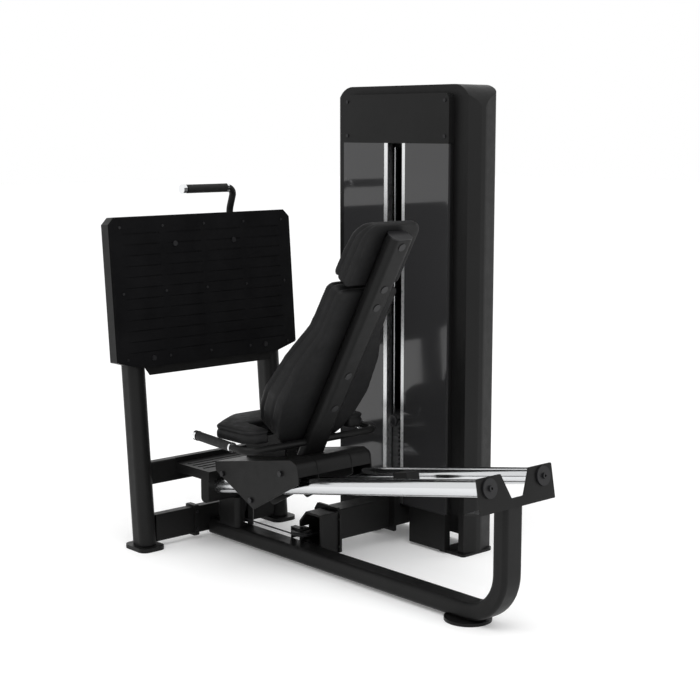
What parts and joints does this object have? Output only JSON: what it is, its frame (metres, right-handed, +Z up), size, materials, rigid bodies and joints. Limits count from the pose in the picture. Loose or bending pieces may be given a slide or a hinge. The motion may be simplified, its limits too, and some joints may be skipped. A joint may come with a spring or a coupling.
{
  "type": "leg press machine",
  "caption": "Seated leg press: a fixed upright foot panel faces a reclining seat that rolls on sloping rails, cabled to a pin-selected weight stack in a tall tower.",
  "frame": {"origin": "centre of the bounding box at floor level", "axes": "+X from the foot panel to the rear rail bracket, +Y from the seat to the weight tower, +Z up"},
  "size_m": [1.5923, 1, 1.6],
  "materials": {
    "black_frame": "satin powder coat",
    "footmat": "matt ribbed rubber",
    "steel": "polished",
    "trim": "satin anodised",
    "chrome": "polished",
    "black_metal": "black oxide",
    "grip": "soft matt",
    "window": "gloss tinted",
    "iron": "painted",
    "rubber": "matt",
    "nylon": "moulded",
    "cable": "sleeved",
    "knob": "moulded",
    "upholstery": "grained upholstery"
  },
  "bodies": {
    "frame": {"base_runner": "black_frame", "floor_feet": "black_frame", "front_posts": "black_frame", "lower_crossbeam": "black_frame", "upper_beams": "black_frame", "foot_panel": "black_frame", "entry_handle": "black_frame", "rear_bracket": "black_frame", "rail_bearer": "black_frame", "front_column": "black_frame", "step_plate": "black_frame", "link_housing": "black_frame", "link_duct": "black_frame", "plinth_covers": "black_frame", "tower_shell": "black_frame", "tower_back_panel": "black_frame", "tower_front_panel": "black_frame", "header_cover": "black_frame", "stack_base": "black_frame", "tower_crosshead": "black_frame", "pulley_mounts": "black_frame", "foot_mat": "footmat", "guide_rails": "steel", "guide_rods": "steel", "slot_strips": "trim", "entry_handle_caps": "chrome", "panel_fasteners": "black_metal", "frame_bolts": "black_metal", "header_screws": "black_metal", "rail_end_caps": "black_metal", "entry_grip": "grip", "windows": "window", "weight_plates": "iron", "stack_bumpers": "rubber", "fixed_cable": "cable"},
    "drive_trolley": {"drive_bar": "black_frame", "cable_core": "cable"},
    "seat_carriage": {"roller_plates": "black_frame", "carriage_cover": "black_frame", "axle_bolts": "black_metal", "seat_bearer": "black_frame", "seat_cushion": "upholstery", "back_beam": "black_frame", "beam_caps": "knob", "back_pad": "upholstery", "head_pad": "upholstery", "seat_handles": "black_frame", "seat_handle_grips": "grip", "seat_handle_caps": "chrome"},
    "front_roller_pair": {"front_rollers": "nylon"},
    "rear_roller_pair": {"rear_rollers": "nylon"},
    "lower_roller_pair": {"lower_rollers": "nylon"},
    "press_wheel": {"press_pulley": "nylon"},
    "floor_wheel": {"floor_pulley": "nylon"},
    "tower_low_wheel": {"tower_low_pulley": "nylon"},
    "tower_top_wheel": {"tower_top_pulley": "nylon"},
    "stack_lifter": {"stack_head": "iron", "stack_cable": "cable"},
    "selector": {"selector_pin": "knob"}
  },
  "joints": [
    {"name": "press_slide", "type": "slide", "parent": "frame", "child": "drive_trolley", "axis": [0.9844, 0, 0.1759], "range_m": [0, 0.4]},
    {"name": "seat_adjust", "type": "slide", "parent": "drive_trolley", "child": "seat_carriage", "axis": [0.9844, 0, 0.1759], "range_m": [0, 0.3]},
    {"name": "front_roller_spin", "type": "hinge", "parent": "seat_carriage", "child": "front_roller_pair", "pos_m": [-0.39704, -0.106, 0.29381], "axis": [0, 1, 0], "range_deg": [-5, 1029]},
    {"name": "rear_roller_spin", "type": "hinge", "parent": "seat_carriage", "child": "rear_roller_pair", "pos_m": [-0.08665, -0.106, 0.34927], "axis": [0, 1, 0], "range_deg": [-5, 1029]},
    {"name": "lower_roller_spin", "type": "hinge", "parent": "seat_carriage", "child": "lower_roller_pair", "pos_m": [-0.24362, -0.106, 0.23112], "axis": [0, 1, 0], "range_deg": [-1624, 5]},
    {"name": "press_pulley_spin", "type": "hinge", "parent": "frame", "child": "press_wheel", "pos_m": [-0.53445, -0.106, 0.14], "axis": [0, 1, 0], "range_deg": [-5, 468]},
    {"name": "floor_pulley_spin", "type": "hinge", "parent": "frame", "child": "floor_wheel", "pos_m": [-0.21395, -0.071, 0.09], "axis": [0, 0, 1], "range_deg": [-665, 5]},
    {"name": "tower_low_pulley_spin", "type": "hinge", "parent": "frame", "child": "tower_low_wheel", "pos_m": [-0.17895, 0.458, 0.114], "axis": [1, 0, 0], "range_deg": [-965, 5]},
    {"name": "tower_top_pulley_spin", "type": "hinge", "parent": "frame", "child": "tower_top_wheel", "pos_m": [-0.17895, 0.442, 1.409], "axis": [1, 0, 0], "range_deg": [-583, 5]},
    {"name": "stack_lift", "type": "slide", "parent": "frame", "child": "stack_lifter", "axis": [0, 0, 1], "range_m": [0, 0.4], "deforming": ["stack_cable"]},
    {"name": "selector_pull", "type": "slide", "parent": "stack_lifter", "child": "selector", "axis": [0, -1, 0], "range_m": [0, 0.085]}
  ],
  "couplings": [
    {"joint": "front_roller_spin", "follows": "press_slide", "rad_per_m": 44.444},
    {"joint": "rear_roller_spin", "follows": "press_slide", "rad_per_m": 44.444},
    {"joint": "lower_roller_spin", "follows": "press_slide", "rad_per_m": -70.423},
    {"joint": "press_pulley_spin", "follows": "press_slide", "rad_per_m": 20},
    {"joint": "floor_pulley_spin", "follows": "press_slide", "rad_per_m": -28.571},
    {"joint": "tower_low_pulley_spin", "follows": "press_slide", "rad_per_m": -41.667},
    {"joint": "tower_top_pulley_spin", "follows": "press_slide", "rad_per_m": -25},
    {"joint": "stack_lift", "follows": "press_slide", "ratio": 1}
  ]
}
